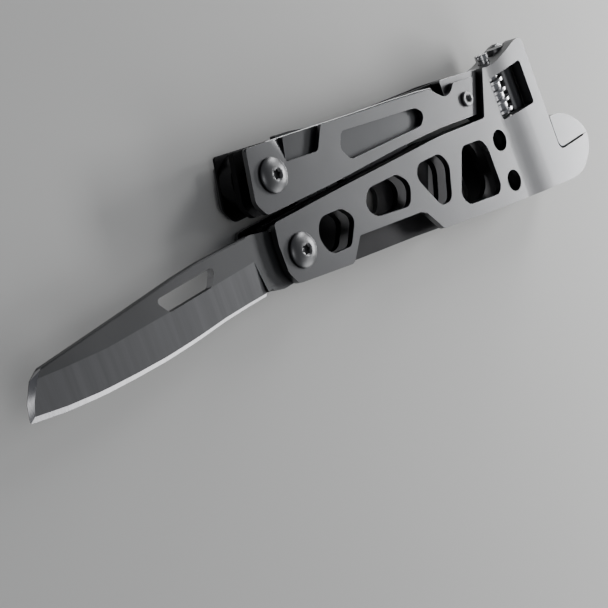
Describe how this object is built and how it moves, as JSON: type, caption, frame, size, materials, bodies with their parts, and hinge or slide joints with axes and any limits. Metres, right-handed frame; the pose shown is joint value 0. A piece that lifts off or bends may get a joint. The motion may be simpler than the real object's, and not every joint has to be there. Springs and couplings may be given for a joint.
{
  "type": "wrench multi tool",
  "caption": "Folding hand tool: adjustable wrench handle with a folding knife, and a second handle closed over needle nose pliers, a saw and a flat driver.",
  "frame": {"origin": "centre of the bounding box at its lowest plane, with the tool lying flat and the knife open", "axes": "+X toward the wrench head, +Y toward the second handle, +Z out of the near face that carries the pivot screws"},
  "size_m": [0.2132, 0.0516, 0.0165],
  "materials": {
    "black_steel": "black oxide satin",
    "blade_steel": "dark satin with brushed grinds",
    "bright_steel": "bright machined",
    "screw_steel": "dark polished",
    "bronze": "plain"
  },
  "bodies": {
    "wrench_handle": {"wrench_frame": "black_steel", "knife_liner": "black_steel", "liner_screw_1": "screw_steel", "liner_screw_2": "screw_steel", "lower_rear_plate": "black_steel", "lower_pivot_screw": "screw_steel", "lower_pivot_barrel": "screw_steel", "knife_washer_near": "bronze", "knife_washer_far": "bronze", "knife_stop_pin": "screw_steel", "worm_pin": "bright_steel", "lower_rear_spacer": "screw_steel", "lower_rear_screw": "screw_steel", "lower_tang_washer_near": "bronze", "lower_tang_washer_far": "bronze"},
    "knife": {"knife_blade": "blade_steel"},
    "jaw": {"movable_jaw": "black_steel"},
    "worm_body": {"worm": "bright_steel"},
    "plier_lower": {"plier_half_lower": "screw_steel", "plier_rivet": "screw_steel"},
    "plier_upper": {"plier_half_upper": "screw_steel"},
    "second_handle": {"upper_near_plate": "black_steel", "upper_liner": "black_steel", "upper_end_block": "black_steel", "upper_inner_plate": "black_steel", "upper_rear_plate": "black_steel", "upper_pivot_screw": "screw_steel", "upper_pivot_barrel": "screw_steel", "upper_tang_washer_near": "bronze", "upper_tang_washer_far": "bronze", "upper_end_screw": "screw_steel", "upper_end_spacer": "screw_steel", "upper_end_nut": "screw_steel", "saw_washer_near": "bronze", "saw_washer_far": "bronze"},
    "saw": {"saw_blade": "blade_steel"},
    "driver": {"flat_driver": "blade_steel"}
  },
  "joints": [
    {"name": "knife_pivot", "type": "hinge", "parent": "wrench_handle", "child": "knife", "pos_m": [-0.01837, -0.0021, 0.01185], "axis": [0, 0, 1], "range_deg": [0, 176]},
    {"name": "jaw_slide", "type": "slide", "parent": "wrench_handle", "child": "jaw", "axis": [0, 1, 0], "range_m": [0, 0.016]},
    {"name": "worm_spin", "type": "hinge", "parent": "wrench_handle", "child": "worm_body", "pos_m": [0.07883, 0.0053, 0.01005], "axis": [0, 1, 0], "continuous": true},
    {"name": "plier_swing", "type": "hinge", "parent": "wrench_handle", "child": "plier_lower", "pos_m": [-0.01837, -0.0021, 0.00605], "axis": [0, 0, 1], "range_deg": [0, 35]},
    {"name": "plier_rivet", "type": "hinge", "parent": "plier_lower", "child": "plier_upper", "pos_m": [-0.00137, 0.00758, 0.00605], "axis": [0, 0, 1], "range_deg": [-16, 0]},
    {"name": "handle_swing", "type": "hinge", "parent": "plier_upper", "child": "second_handle", "pos_m": [-0.01837, 0.01726, 0.00605], "axis": [0, 0, 1], "range_deg": [0, 170]},
    {"name": "saw_pivot", "type": "hinge", "parent": "second_handle", "child": "saw", "pos_m": [-0.01837, 0.01726, 0.01235], "axis": [0, 0, -1], "range_deg": [-170, 0]},
    {"name": "driver_pivot", "type": "hinge", "parent": "second_handle", "child": "driver", "pos_m": [0.06012, 0.0098, 0.00735], "axis": [0, 0, -1], "range_deg": [0, 85]}
  ],
  "couplings": [
    {"joint": "worm_spin", "follows": "jaw_slide", "rad_per_m": -2181.7},
    {"joint": "plier_rivet", "follows": "handle_swing", "ratio": -0.09}
  ]
}
